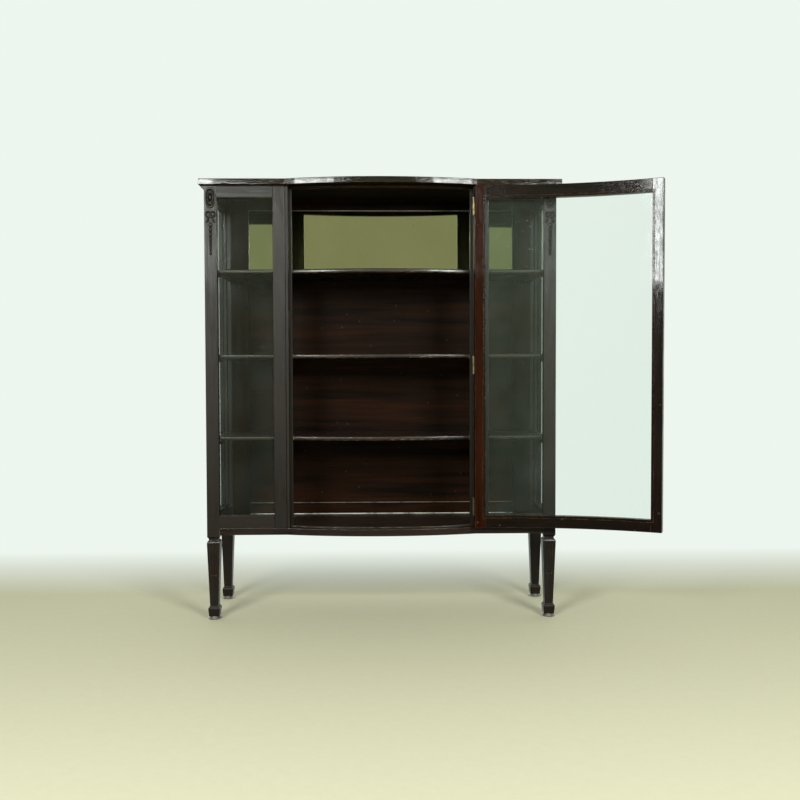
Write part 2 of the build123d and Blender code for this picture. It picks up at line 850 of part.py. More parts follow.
frame_leaves = [frame_leaf(z) for z in hinge_heights]
door_leaves = [door_leaf(z) for z in hinge_heights]
pins = [hinge_pin(z) for z in hinge_heights]
half_leaf = hinge_length / 2
for z in hinge_heights:
    parts["right_jamb"] -= block(
        opening_half_width - 1, opening_half_width + hinge_leaf_thickness, -1, hinge_leaf_depth,
        z - half_leaf, z + half_leaf,
    )
    hinge_stile -= at_hinge_edge(
        block(-hinge_leaf_thickness, 1, -1, hinge_leaf_depth, z - half_leaf, z + half_leaf)
    )


def to_jamb(depth, z, side):
    """Turns a screw that points down to lie in the jamb's reveal."""
    return Pos(side * opening_half_width, depth, z) * Rot(0, -90 * side, 0)


def to_hinge_edge(depth, z):
    """Turns a screw that points down to lie in the door's hinge edge."""
    x, y = arc_point(door_radius, door_half_angle)
    return Pos(x, y, 0) * Rot(0, 0, edge_slope) * Pos(0, depth, z) * Rot(0, 90, 0)


jamb_screws = []
edge_screws = []
for i, z in enumerate(hinge_heights):
    for depth, height in leaf_screws(z):
        jamb_place = to_jamb(depth, height, 1)
        edge_place = to_hinge_edge(depth, height)
        jamb_screws.append(jamb_place * screw(leaf_screw_radius, leaf_screw_length))
        edge_screws.append(edge_place * screw(leaf_screw_radius, leaf_screw_length))
        jamb_hole = jamb_place * screw_void(leaf_screw_radius, leaf_screw_length)
        edge_hole = edge_place * screw_void(leaf_screw_radius, leaf_screw_length)
        frame_leaves[i] -= jamb_hole
        door_leaves[i] -= edge_hole
        parts["right_jamb"] -= jamb_hole
        parts["right_front_stile"] -= jamb_hole
        hinge_stile -= edge_hole


# ---------------------------------------------------------------- lock
# In the lock's own axes +X leaves the door's edge, +Y goes from its outer face to its inner face.
lock_case_depth = 24.0
lock_case_half_height = 19.0
lock_case_thickness = 10.0
lock_wall = 1.2
lock_middle_y = 12.0
faceplate_half_height = 27.0
faceplate_half_width = 6.0
faceplate_thickness = 1.8
bolt_half_height = 6.0
bolt_half_thickness = 2.6
bolt_travel = 8.0
lock_screw_rise = 22.5
lock_screw_radius = 2.3
lock_screw_length = 11.0
keyhole_depth = 15.0


def lock_block(x0, x1, half_y, half_z):
    """A box in the lock's axes, centred on the bolt."""
    return block(x0, x1, lock_middle_y - half_y, lock_middle_y + half_y, -half_z, half_z)


def make_lock():
    """The lock's faceplate, hollow case and bolt in the lock's own axes, and the mortise they fill."""
    plate = lock_block(-faceplate_thickness, 0, faceplate_half_width, faceplate_half_height)
    plate = fillet(plate.edges().filter_by(Axis.X), 2.5)
    plate_seat = lock_block(-faceplate_thickness, 1, faceplate_half_width, faceplate_half_height)
    plate_seat = fillet(plate_seat.edges().filter_by(Axis.X), 2.5)
    half_case = lock_case_thickness / 2
    case = lock_block(-lock_case_depth, -faceplate_thickness, half_case, lock_case_half_height)
    case -= lock_block(
        -lock_case_depth + lock_wall, -faceplate_thickness + 1, half_case - lock_wall,
        lock_case_half_height - lock_wall,
    )
    mortise = lock_block(-lock_case_depth, -faceplate_thickness, half_case, lock_case_half_height)
    mortise += plate_seat
    bolt = lock_block(-16.0, -0.3, bolt_half_thickness, bolt_half_height)
    tail = lock_block(-17.0, -11.0, half_case - lock_wall - 0.4, bolt_half_height + 4)
    window = lock_block(-faceplate_thickness - 1, 1, bolt_half_thickness + 0.25, bolt_half_height + 0.25)
    post_place = Pos(-keyhole_depth - 4.5, lock_middle_y, -lock_case_half_height / 2 - 4) * Rot(90, 0, 0)
    post = post_place * Cylinder(1.3, 2 * (half_case - lock_wall))
    return plate - window, case + post, bolt + tail, mortise


faceplate, lock_case, lock_bolt, mortise = make_lock()
edge_screw_pairs = []
for rise in (-1, 1):
    place = Pos(0, lock_middle_y, rise * lock_screw_rise) * Rot(0, 90, 0)
    faceplate -= place * screw_void(lock_screw_radius, lock_screw_length)
    mortise += place * screw_void(lock_screw_radius, lock_screw_length)
    edge_screw_pairs.append(place * screw(lock_screw_radius, lock_screw_length))
keyhole_width = 3.0
keyhole = Rot(90, 0, 0) * Cylinder(keyhole_width / 2 + 0.8, 16)
keyhole += block(-keyhole_width / 2, keyhole_width / 2, -8, 8, -7, 0)
keyhole = Pos(-keyhole_depth, 0, 0) * keyhole
escutcheon = Pos(-keyhole_depth, 0, -2) * (Rot(90, 0, 0) * extrude(Ellipse(7.5, 12.5), amount=1.2))
escutcheon -= keyhole
lock_stile -= at_lock_edge(mortise)
lock_stile -= at_lock_edge(keyhole)
lock_case -= Pos(-keyhole_depth, 0, 0) * block(-1.5, 1.5, 0, lock_middle_y - 3, -7, 2.3)


# ---------------------------------------------------------------- strike plate on the left jamb
strike_half_height = 27.5
strike_plate_depth = 16.0
strike_thickness = 1.5
strike_screw_rise = 21.0
strike_y = 15.0


def make_strike():
    """The brass strike plate, let in flush with the left jamb's reveal."""
    x = (-opening_half_width - strike_thickness, -opening_half_width)
    y = (strike_y - strike_plate_depth / 2, strike_y + strike_plate_depth / 2)
    return block(*x, *y, lock_z - strike_half_height, lock_z + strike_half_height)


strike_plate = make_strike()
parts["left_jamb"] -= strike_plate
bolt_pocket = block(
    -opening_half_width - 13, -opening_half_width + 1, strike_y - 5.2, strike_y + 5.2,
    lock_z - bolt_half_height - 1.5, lock_z + bolt_half_height + 1.5,
)
strike_plate -= bolt_pocket
parts["left_jamb"] -= bolt_pocket
parts["left_front_stile"] -= bolt_pocket
for rise in (-1, 1):
    place = to_jamb(strike_y, lock_z + rise * strike_screw_rise, -1)
    hole = place * screw_void(lock_screw_radius, leaf_screw_length)
    jamb_screws.append(place * screw(lock_screw_radius, leaf_screw_length))
    strike_plate -= hole
    parts["left_jamb"] -= hole
    parts["left_front_stile"] -= hole
parts["strike_plate"] = strike_plate


# ---------------------------------------------------------------- carvings on the front posts
carving_x = post_inner + post_size / 2
patera_z = 1378.0
patera_size = (17.0, 34.0)
bow_z = (1295.0, 1338.0)
drop_z = (1190.0, 1296.0)
carving_relief = 3.0


def carving(side):
    """An oval patera, a ribbon bow and a tapering drop of husks, in low relief on a post's face."""
    x = side * carving_x
    face = Plane(origin=(x, 0, 0), x_dir=(1, 0, 0), z_dir=(0, -1, 0))
    oval = extrude(face * Pos(0, patera_z) * Ellipse(*patera_size), amount=carving_relief)
    oval = fillet(oval.edges().sort_by(Axis.Y)[0], 1.5)
    mid = (bow_z[0] + bow_z[1]) / 2
    bow_face = Polyline(
        (-15, bow_z[1]), (0, mid + 6), (15, bow_z[1]),
        (14, bow_z[0] + 4), (0, mid - 8), (-14, bow_z[0] + 4),
        (-15, bow_z[1]),
    )
    bow = extrude(face * make_face(bow_face), amount=carving_relief - 0.5)
    drop_face = Polyline((-6.5, drop_z[1] + 4), (6.5, drop_z[1] + 4), (2.5, drop_z[0]), (-2.5, drop_z[0]),
                         (-6.5, drop_z[1] + 4))
    drop = extrude(face * make_face(drop_face), amount=carving_relief - 0.5)
    return group([oval, bow + drop])


parts["post_carvings"] = group(both_sides(carving))


# ---------------------------------------------------------------- hardware and door into their nodes
parts["hinge_frame_leaves"] = group(frame_leaves)
parts["hinge_pins"] = group(pins)
parts["case_screws"] = group(jamb_screws)
door_parts = {
    "door_hinge_stile": hinge_stile,
    "door_lock_stile": lock_stile,
    "door_top_rail": top_rail,
    "door_bottom_rail": bottom_rail,
    "door_glass": door_glass,
    "door_glass_beads": make_door_beads(),
    "hinge_door_leaves": group(door_leaves),
    "door_screws": group(edge_screws + [at_lock_edge(s) for s in edge_screw_pairs]),
    "lock_faceplate": at_lock_edge(faceplate),
    "lock_case": at_lock_edge(lock_case),
    "lock_bolt": at_lock_edge(lock_bolt),
    "keyhole_escutcheon": at_lock_edge(escutcheon),
}
for name, shape in door_parts.items():
    parts[name] = swing(shape)

os.makedirs("parts", exist_ok=True)
for name, shape in parts.items():
    export_step(shape, f"parts/{name}.step")
print(len(parts), "nodes; door pin at", round(pin_x, 3), pin_y)
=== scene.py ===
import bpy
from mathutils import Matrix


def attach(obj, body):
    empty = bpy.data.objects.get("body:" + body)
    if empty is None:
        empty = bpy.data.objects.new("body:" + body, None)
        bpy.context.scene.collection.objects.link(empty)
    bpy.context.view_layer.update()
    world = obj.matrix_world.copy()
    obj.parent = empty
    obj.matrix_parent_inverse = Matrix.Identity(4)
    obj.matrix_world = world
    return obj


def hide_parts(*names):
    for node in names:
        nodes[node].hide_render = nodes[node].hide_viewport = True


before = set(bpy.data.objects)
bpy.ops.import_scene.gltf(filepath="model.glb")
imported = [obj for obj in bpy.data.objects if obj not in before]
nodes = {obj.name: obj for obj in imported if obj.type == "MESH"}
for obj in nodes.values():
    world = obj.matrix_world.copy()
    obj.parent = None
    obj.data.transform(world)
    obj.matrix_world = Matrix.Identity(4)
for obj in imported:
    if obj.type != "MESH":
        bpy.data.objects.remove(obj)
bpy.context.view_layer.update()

import math
import random

import bmesh
import bpy
from mathutils import Vector

OPEN_ANGLE = math.radians(168.4)
DOOR_CHORD_ANGLE = OPEN_ANGLE - math.pi
BEVEL_SAMPLES = 4


# ---------------------------------------------------------------- node tree helpers
class Tree:
    """A short way to add and join the shader nodes of one material or world."""

    def __init__(self, name, world=None):
        self.owner = world or bpy.data.materials.new(name)
        self.owner.use_nodes = True
        self.tree = self.owner.node_tree
        self.tree.nodes.clear()
        self.output = self.add("ShaderNodeOutputWorld" if world else "ShaderNodeOutputMaterial")

    def add(self, kind, **settings):
        """Adds a node and sets its plain properties."""
        node = self.tree.nodes.new(kind)
        for key, value in settings.items():
            setattr(node, key, value)
        return node

    def link(self, source, target):
        """Joins an output socket to an input socket."""
        self.tree.links.new(source, target)

    def put(self, node, socket, value):
        """Sets a socket to a plain value, or links it to another node's output."""
        if isinstance(value, bpy.types.NodeSocket):
            self.link(value, node.inputs[socket])
        else:
            node.inputs[socket].default_value = value

    def object_place(self):
        """A point's place in the CAD frame at rest."""
        return self.add("ShaderNodeTexCoord").outputs["Object"]

    def axes(self, vector):
        """The X, Y and Z of a vector, by letter."""
        node = self.add("ShaderNodeSeparateXYZ")
        self.link(vector, node.inputs[0])
        return node.outputs

    def cells(self, vector, scale):
        """Distance to the nearest of many scattered points."""
        node = self.add("ShaderNodeTexVoronoi")
        self.link(vector, node.inputs["Vector"])
        self.put(node, "Scale", scale)
        return node.outputs["Distance"]

    def mapping(self, vector, scale=(1, 1, 1), turn=(0, 0, 0), shift=(0, 0, 0)):
        """A vector scaled, turned and shifted."""
        node = self.add("ShaderNodeMapping")
        self.link(vector, node.inputs["Vector"])
        node.inputs["Scale"].default_value = scale
        node.inputs["Rotation"].default_value = turn
        node.inputs["Location"].default_value = shift
        return node.outputs["Vector"]

    def noise(self, vector, scale, detail=3.0, roughness=0.55, distortion=0.0):
        """Fractal noise from 0 to 1, around 0.5."""
        node = self.add("ShaderNodeTexNoise")
        self.link(vector, node.inputs["Vector"])
        self.put(node, "Scale", scale)
        self.put(node, "Detail", detail)
        self.put(node, "Roughness", roughness)
        self.put(node, "Distortion", distortion)
        return node.outputs["Fac"]

    def ramp(self, value, stops):
        """A colour ramp: stops are (place, colour) pairs; a colour may be one grey value."""
        node = self.add("ShaderNodeValToRGB")
        self.link(value, node.inputs["Fac"])
        elements = node.color_ramp.elements
        while len(elements) < len(stops):
            elements.new(0.5)
        for element, (place, colour) in zip(elements, stops):
            element.position = place
            rgb = colour if isinstance(colour, tuple) else (colour, colour, colour)
            element.color = (*rgb, 1)
        return node.outputs["Color"]

    def spread(self, value, low, high, to_low, to_high):
        """Maps low..high to to_low..to_high, held at both ends."""
        node = self.add("ShaderNodeMapRange")
        self.link(value, node.inputs["Value"])
        self.put(node, "From Min", low)
        self.put(node, "From Max", high)
        self.put(node, "To Min", to_low)
        self.put(node, "To Max", to_high)
        return node.outputs["Result"]

    def math(self, operation, a, b=0.0, clamp=False):
        """One sum or product of two numbers or sockets."""
        node = self.add("ShaderNodeMath", operation=operation, use_clamp=clamp)
        self.put(node, 0, a)
        self.put(node, 1, b)
        return node.outputs["Value"]

    def mix(self, factor, a, b, blend="MIX"):
        """Mixes two colours, each a tuple or a socket."""
        node = self.add("ShaderNodeMix", data_type="RGBA", blend_type=blend)
        self.put(node, 0, factor)
        for index, value in ((6, a), (7, b)):
            if isinstance(value, bpy.types.NodeSocket):
                self.link(value, node.inputs[index])
            else:
                node.inputs[index].default_value = (*value, 1)
        return node.outputs[2]

    def blend(self, factor, first, second):
        """Mixes two shaders."""
        node = self.add("ShaderNodeMixShader")
        self.link(factor, node.inputs[0])
        self.link(first, node.inputs[1])
        self.link(second, node.inputs[2])
        return node.outputs[0]

    def bump(self, height, strength, distance, normal=None):
        """A normal tilted by a height pattern."""
        node = self.add("ShaderNodeBump")
        self.link(height, node.inputs["Height"])
        self.put(node, "Strength", strength)
        self.put(node, "Distance", distance)
        if normal is not None:
            self.link(normal, node.inputs["Normal"])
        return node.outputs["Normal"]

    def rounded(self, radius):
        """The normal that the surface would have with its arrises rounded."""
        bevel = self.add("ShaderNodeBevel", samples=BEVEL_SAMPLES)
        self.put(bevel, "Radius", radius)
        return bevel.outputs["Normal"]

    def edge_mask(self, radius):
        """1 on arrises and 0 on flats, from how far a rounded normal leaves the true one."""
        geometry = self.add("ShaderNodeNewGeometry")
        dot = self.add("ShaderNodeVectorMath", operation="DOT_PRODUCT")
        self.link(self.rounded(radius), dot.inputs[0])
        self.link(geometry.outputs["Normal"], dot.inputs[1])
        return self.spread(dot.outputs["Value"], 0.985, 0.90, 0.0, 1.0)

    def principled(self, **values):
        """The main surface shader; plain numbers are set on its own sockets."""
        node = self.add("ShaderNodeBsdfPrincipled")
        for key, value in values.items():
            self.put(node, key, value)
        return node.outputs["BSDF"]

    def finish(self, shader):
        """Joins the finished shader to the output, and gives the material or world."""
        self.link(shader, self.output.inputs["Surface"])
        return self.owner


# ---------------------------------------------------------------- wood
# Scales that draw the grain out along each axis of a piece.
GRAIN_SCALES = {"x": (0.05, 1, 1), "y": (1, 0.05, 1), "z": (1, 1, 0.05)}
PORE_COLOUR = (0.006, 0.004, 0.003)
NICK_COLOUR = (0.11, 0.07, 0.045)
# Colour of the painted light lines.
LIGHT_LINE_COLOUR = (0.80, 0.76, 0.68)
SPECK_COLOUR = (0.55, 0.53, 0.47)
LINE_FADE = 0.0003


def figured_colour(t, along, dark, red):
    """Mahogany's dark and red figure with finer streaks and pores: its colour, streaks and pores."""
    figure = t.noise(along, 26.0, detail=4.0, roughness=0.6, distortion=0.35)
    streaks = t.noise(along, 150.0, detail=3.0, roughness=0.65)
    pores = t.spread(t.noise(along, 900.0, detail=1.0, roughness=0.5), 0.56, 0.68, 0.0, 1.0)
    colour = t.ramp(figure, [(0.34, dark), (0.66, red)])
    colour = t.mix(0.7, colour, t.ramp(streaks, [(0.38, 0.62), (0.62, 1.0)]), "MULTIPLY")
    colour = t.mix(t.math("MULTIPLY", pores, 0.55), colour, PORE_COLOUR)
    return colour, streaks, pores


def worn_and_painted_light_colour(t, place, colour, wear_and_highlight, rub_and_highlight, arris, light_lines, specks):
    """Lays over a colour its rubbed arrises, on the shelves partly a painted highlight, its nicks,
    painted light lines at given heights, and pale specks.
    """
    rubbed = t.noise(place, 38.0, detail=4.0, roughness=0.65)
    # Rubbed arrises in their given colour; on the shelves, where it is near white, they are partly a
    # painted highlight.
    edge = t.edge_mask(arris)
    rub_and_highlight_mask = t.math("MULTIPLY", edge, t.spread(rubbed, 0.44, 0.62, 0.0, wear_and_highlight), clamp=True)
    colour = t.mix(rub_and_highlight_mask, colour, rub_and_highlight)
    nicks = t.spread(t.cells(place, 21.0), 0.05, 0.09, 1.0, 0.0)
    colour = t.mix(t.math("MULTIPLY", nicks, min(wear_and_highlight, 1.0) * 0.55), colour, NICK_COLOUR)
    height = t.axes(t.object_place())["Z"]
    # Painted light: pale lines at given heights, broken into dashes.
    for low, high, amount in light_lines:
        above = t.spread(height, low - LINE_FADE, low, 0.0, amount)
        below = t.spread(height, high, high + LINE_FADE, 1.0, 0.0)
        broken = t.spread(rubbed, 0.34, 0.5, 0.25, 1.0)
        line = t.math("MULTIPLY", t.math("MULTIPLY", above, below), broken)
        colour = t.mix(line, colour, LIGHT_LINE_COLOUR)
    if specks:
        dots = t.spread(t.cells(place, 10.0), 0.012, 0.02, 1.0, 0.0)
        colour = t.mix(t.math("MULTIPLY", dots, specks), colour, SPECK_COLOUR)
    return colour


def wood(
    name, grain, seed, dark, red, haze, haze_amount=0.3, rough=(0.34, 0.5), wear_and_highlight=0.35,
    coat=0.26, coat_rough=0.12, coat_ior=1.5, spec=0.42, turn=0.0, rub_and_highlight=(0.20, 0.115, 0.065),
    specks=0.0, arris=0.0022, soft_edge=0.0012, dull_under=None, light_lines=(),
):
    """Old varnished mahogany: drawn-out figure and pores, a hazed finish, arrises rubbed pale (on the
    shelves partly a painted highlight), and any painted light lines.
    """
    t = Tree(name)
    rng = random.Random(seed)
    shift = tuple(rng.uniform(-5, 5) for _ in range(3))
    place = t.object_place()
    if turn:
        place = t.mapping(place, turn=(0, 0, turn))
    place = t.mapping(place, shift=shift)
    along = t.mapping(place, scale=GRAIN_SCALES[grain])
    colour, streaks, pores = figured_colour(t, along, dark, red)
    cloud = t.noise(place, 3.2, detail=2.0, roughness=0.5)
    haze_mask = t.spread(cloud, 0.3, 0.75, haze_amount * 0.45, haze_amount)
    colour = t.mix(haze_mask, colour, haze)
    colour = worn_and_painted_light_colour(t, place, colour, wear_and_highlight, rub_and_highlight, arris, light_lines, specks)

    smudges = t.noise(place, 11.0, detail=5.0, roughness=0.62)
    patches = t.noise(place, 5.5, detail=6.0, roughness=0.68)
    varnish = t.spread(patches, 0.36, 0.64, coat * 0.40, min(1.0, coat * 1.15))
    streaked = t.spread(streaks, 0.35, 0.62, 0.60, 1.10)
    varnish = t.math("MULTIPLY", varnish, streaked, clamp=True)
    roughness = t.spread(smudges, 0.3, 0.7, *rough)
    streak_relief = t.spread(streaks, 0.35, 0.62, 0.14, -0.03)
    roughness = t.math("ADD", roughness, streak_relief, clamp=True)
    patch_relief = t.spread(patches, 0.36, 0.64, 0.10, -0.03)
    roughness = t.math("ADD", roughness, patch_relief, clamp=True)
    if dull_under is not None:
        height = t.axes(t.object_place())["Z"]
        upper = t.spread(height, dull_under, dull_under + 0.001, 0.0, 1.0)
        varnish = t.math("MULTIPLY", varnish, upper)
        roughness = t.math("MAXIMUM", roughness, t.math("SUBTRACT", 1.0, upper))

    relief = t.math("ADD", t.math("MULTIPLY", streaks, 0.4), t.math("MULTIPLY", pores, -0.6))
    normal = t.bump(relief, 0.22, 0.0004, t.rounded(soft_edge))
    ripple = t.bump(t.noise(place, 7.0, detail=1.0), 0.12, 0.004, normal)
    return t.finish(t.principled(**{
        "Base Color": colour,
        "Roughness": roughness,
        "Specular IOR Level": spec,
        "Normal": ripple,
        "Coat Weight": varnish,
        "Coat Roughness": coat_rough,
        "Coat IOR": coat_ior,
        "Coat Normal": ripple,
    }))


# Tones of the wood, as linear colours: its dark and red figure, and the dull film over it.
OUTER = {
    "dark": (0.0028, 0.0015, 0.0007),
    "red": (0.0145, 0.0063, 0.0022),
    "haze": (0.028, 0.0175, 0.007),
}
INNER = {
    "dark": (0.0030, 0.0013, 0.0006),
    "red": (0.033, 0.0105, 0.0036),
    "haze": (0.012, 0.006, 0.003),
}
DOOR_IN = {
    "dark": (0.0026, 0.0012, 0.0007),
    "red": (0.013, 0.0045, 0.0020),
    "haze": (0.013, 0.008, 0.005),
}
RED_STILE = {
    "dark": (0.007, 0.0014, 0.0006),
    "red": (0.037, 0.0085, 0.0028),
    "haze": (0.020, 0.007, 0.003),
}
BARE_BOARD = {
    "dark": (0.14, 0.085, 0.045),
    "red": (0.24, 0.155, 0.085),
    "haze": (0.2, 0.16, 0.11),
}

# Grain of each wooden piece; the rest of a name says which side or level it is.
VERTICAL = ("post", "stile", "jamb", "door_stop")
DEPTHWISE = ("side_top_rail", "side_bottom_rail", "side_mouldings")


def grain_of(name):
    """The axis that a wooden node's grain runs along."""
    if name.endswith(DEPTHWISE):
        return "y"
    if any(word in name for word in VERTICAL) and "carvings" not in name:
        return "z"
    return "x"


def paint(name, material):
    """Gives a CAD node one material in all its slots."""
    mesh = nodes[name].data
    if not mesh.materials:
        mesh.materials.append(material)
    for i in range(len(mesh.materials)):
        mesh.materials[i] = material


# ---------------------------------------------------------------- other materials
GLASS_STOPS = [(0.3, (0.965, 0.990, 0.978)), (0.7, (0.98, 0.997, 0.988))]
DUST_COLOUR = (0.47, 0.62, 0.62)


def glass(name, seed):
    """Old window glass: clear, faintly green, with a film of dust and soft smears."""
    t = Tree(name)
    place = t.mapping(t.object_place(), shift=(seed * 1.7, seed * 0.9, seed))
    wave = t.bump(t.noise(place, 2.6, detail=1.0), 0.25, 0.01)
    facing = t.add("ShaderNodeLayerWeight")
    facing.inputs["Blend"].default_value = 0.5
    t.link(wave, facing.inputs["Normal"])
    grazing = t.math("POWER", facing.outputs["Facing"], 5.0)
    mirrored = t.math("ADD", t.math("MULTIPLY", grazing, 0.90), 0.036, clamp=True)
    thickness = t.noise(place, 1.5, detail=1.0)
    clear = t.add("ShaderNodeBsdfTransparent")
    t.link(t.ramp(thickness, GLASS_STOPS), clear.inputs["Color"])
    smear = t.noise(place, 9.0, detail=4.0, roughness=0.6)
    gloss = t.add("ShaderNodeBsdfGlossy")
    t.link(t.spread(smear, 0.35, 0.7, 0.012, 0.06), gloss.inputs["Roughness"])
    t.link(wave, gloss.inputs["Normal"])
    pane = t.blend(mirrored, clear.outputs[0], gloss.outputs[0])
    dust = t.add("ShaderNodeBsdfDiffuse")
    dust.inputs["Color"].default_value = (*DUST_COLOUR, 1)
    return t.finish(t.blend(t.spread(smear, 0.4, 0.8, 0.002, 0.014), pane, dust.outputs[0]))


# The mirror's outline, how far inside it the ground line fades in, and its colours.
MIRROR_EDGE_X = 0.469
MIRROR_EDGE_Z = 1.384
MIRROR_FADE = (0.0025, 0.002)
MIRROR_EDGE_COLOUR = (0.50, 0.54, 0.46)
SILVER_STOPS = [(0.3, (0.68, 0.70, 0.44)), (0.7, (0.76, 0.78, 0.52))]
FOXING_COLOUR = (0.10, 0.10, 0.08)


def mirror_glass():
    """Old silvering, a little green and grey, with a ground edge and dark specks."""
    t = Tree("old_mirror")
    place = t.object_place()
    cloud = t.noise(place, 4.0, detail=4.0, roughness=0.6)
    colour = t.ramp(cloud, SILVER_STOPS)
    specks = t.noise(place, 170.0, detail=2.0, roughness=0.5)
    colour = t.mix(t.spread(specks, 0.70, 0.76, 0.0, 0.7), colour, FOXING_COLOUR)
    axes = t.axes(place)
    across = t.math("ABSOLUTE", axes["X"])
    side = t.spread(across, *(MIRROR_EDGE_X - inset for inset in MIRROR_FADE), 0.0, 1.0)
    top = t.spread(axes["Z"], *(MIRROR_EDGE_Z - inset for inset in MIRROR_FADE), 0.0, 1.0)
    ground = t.math("MAXIMUM", side, top)
    colour = t.mix(ground, colour, MIRROR_EDGE_COLOUR)
    polish = t.spread(cloud, 0.3, 0.8, 0.015, 0.05)
    roughness = t.math("ADD", polish, t.math("MULTIPLY", ground, 0.5))
    return t.finish(t.principled(**{"Base Color": colour, "Roughness": roughness, "Metallic": 1.0}))


def old_metal(name, bright, dull, rough, seed):
    """Tarnished metal, rubbed bright on its arrises."""
    t = Tree(name)
    place = t.mapping(t.object_place(), shift=(seed, seed * 2.3, seed * 0.7))
    cloud = t.noise(place, 60.0, detail=5.0, roughness=0.65)
    spots = t.noise(place, 540.0, detail=3.0, roughness=0.6)
    colour = t.ramp(cloud, [(0.32, dull), (0.62, bright)])
    stain = tuple(c * 0.35 for c in dull)
    colour = t.mix(t.spread(spots, 0.60, 0.72, 0.0, 0.6), colour, stain)
    polished = tuple(min(1.0, c * 1.35) for c in bright)
    colour = t.mix(t.math("MULTIPLY", t.edge_mask(0.0009), 0.7), colour, polished)
    roughness = t.spread(cloud, 0.3, 0.7, rough[1], rough[0])
    normal = t.bump(spots, 0.25, 0.0003)
    return t.finish(t.principled(**{
        "Base Color": colour,
        "Roughness": roughness,
        "Normal": normal,
        "Metallic": 1.0,
    }))


# ---------------------------------------------------------------- finishes for the CAD nodes
NOT_WOOD = (
    "glass", "mirror", "screw", "hinge_", "lock_", "strike", "keyhole", "glides", "eyes", "carvings",
)


def is_wood(name):
    """Whether a node is wood; the door's stiles and the glass beads are, whatever their names hold."""
    if name in ("door_hinge_stile", "door_lock_stile") or name.endswith("beads"):
        return True
    return not any(word in name for word in NOT_WOOD)


INNER_NAMES = (
    "back_panel", "lower_shelf", "middle_shelf", "upper_shelf", "bottom_board", "shelf_cleats",
    "back_left_stile", "back_right_stile", "back_top_rail", "back_middle_rail", "header_rail",
    "back_bottom_rail",
)
# Painted light along the back's bottom rail, broken into dashes: a line of light showing under it and a
# highlight along its top edge; height of each one's foot and top, and its strength.
BOTTOM_RAIL_LIGHT_LINES = ((0.3045, 0.3068, 1.0), (0.3444, 0.3462, 0.22))
TOP_UNDERSIDE_Z = 1.4178

INSIDE = {**INNER, "haze_amount": 0.2, "rough": (0.25, 0.42), "specks": 0.8}
INSIDE_FRAME = {**INSIDE, "wear_and_highlight": 0.4, "coat": 0.07, "spec": 0.06}
# The shelves' pale front arrises are partly real rubbing and partly a painted highlight, by their
# strong amounts and near-white colours.
UPPER_SHELF = {
    **INSIDE, "wear_and_highlight": 1.5, "coat": 0.9, "coat_rough": 0.10, "spec": 0.5,
    "rub_and_highlight": (0.50, 0.39, 0.28), "arris": 0.0035, "soft_edge": 0.003,
}
LOWER_SHELVES = {**UPPER_SHELF, "wear_and_highlight": 2.0, "rub_and_highlight": (0.85, 0.70, 0.54), "arris": 0.003}
INSIDE_LOOKS = {
    "upper_shelf": UPPER_SHELF,
    "middle_shelf": LOWER_SHELVES,
    "lower_shelf": LOWER_SHELVES,
    "bottom_board": {
        **INSIDE, "wear_and_highlight": 0.9, "coat": 0.6, "coat_rough": 0.12, "spec": 0.40, "rub_and_highlight": (0.34, 0.25, 0.17),
    },
    "back_bottom_rail": {**INSIDE_FRAME, "light_lines": BOTTOM_RAIL_LIGHT_LINES},
}
DOOR = {"haze_amount": 0.16, "wear_and_highlight": 0.7, "coat_rough": 0.05}
DOOR_LOOKS = {
    "door_hinge_stile": {**DOOR, **RED_STILE, "coat": 0.25, "spec": 0.01},
    "door_lock_stile": {**DOOR, **DOOR_IN, "coat": 1.0, "spec": 0.05, "coat_ior": 1.7},
}
DOOR_RAILS = {**DOOR, **DOOR_IN, "coat": 1.0, "spec": 0.05}
TOP_BOARD = {
    **OUTER, "haze_amount": 0.25, "coat": 1.0, "coat_rough": 0.03, "coat_ior": 1.75, "spec": 0.06,
    "dull_under": TOP_UNDERSIDE_Z,
}
CASE_OUTSIDE = {**OUTER, "haze_amount": 0.24}


def look_of(name, grain):
    """The wood settings of one node; a door rail's grain follows the open door's chord."""
    if name.startswith("door_") and "stop" not in name:
        look = dict(DOOR_LOOKS.get(name, DOOR_RAILS))
        if grain == "x":
            look["turn"] = -DOOR_CHORD_ANGLE
        return look
    if name in INNER_NAMES:
        return INSIDE_LOOKS.get(name, INSIDE_FRAME)
    return TOP_BOARD if name == "top_board" else CASE_OUTSIDE


def paint_wood():
    """Each wooden node's own mahogany, and the bare board behind the mirror."""
    for index, name in enumerate(sorted(nodes)):
        if is_wood(name):
            grain = grain_of(name)
            paint(name, wood("wood_" + name, grain, index, **look_of(name, grain)))
    bare = {"haze_amount": 0.4, "rough": (0.6, 0.8), "wear_and_highlight": 0.3, "coat": 0.0}
    paint("mirror_backing", wood("bare_board", "x", 77, **BARE_BOARD, **bare))


def paint_glass():
    """Each pane's own old glass, and the mirror."""
    panes = [name for name in sorted(nodes) if name.endswith("glass")]
    for index, name in enumerate(panes):
        paint(name, glass("pane_" + name, index + 1))
    paint("mirror", mirror_glass())


BRASS = {"bright": (0.42, 0.35, 0.19), "dull": (0.12, 0.095, 0.05), "rough": (0.24, 0.5)}
STEEL = {"bright": (0.58, 0.57, 0.53), "dull": (0.24, 0.225, 0.20), "rough": (0.3, 0.55)}
BRASS_NAMES = (
    "hinge_frame_leaves", "hinge_door_leaves", "hinge_pins", "strike_plate", "lock_faceplate",
    "keyhole_escutcheon", "screw_eyes", "case_screws", "door_screws", "lock_bolt",
)


def paint_metal():
    """Brass fittings, and the steel of the glides and the lock's case."""
    for index, name in enumerate(BRASS_NAMES):
        paint(name, old_metal("brass_" + name, seed=index + 0.5, **BRASS))
    paint("foot_glides", old_metal("steel_glides", seed=3.1, **STEEL))
    paint("lock_case", old_metal("steel_lock", seed=5.2, **STEEL))


paint_wood()
paint_glass()
paint_metal()


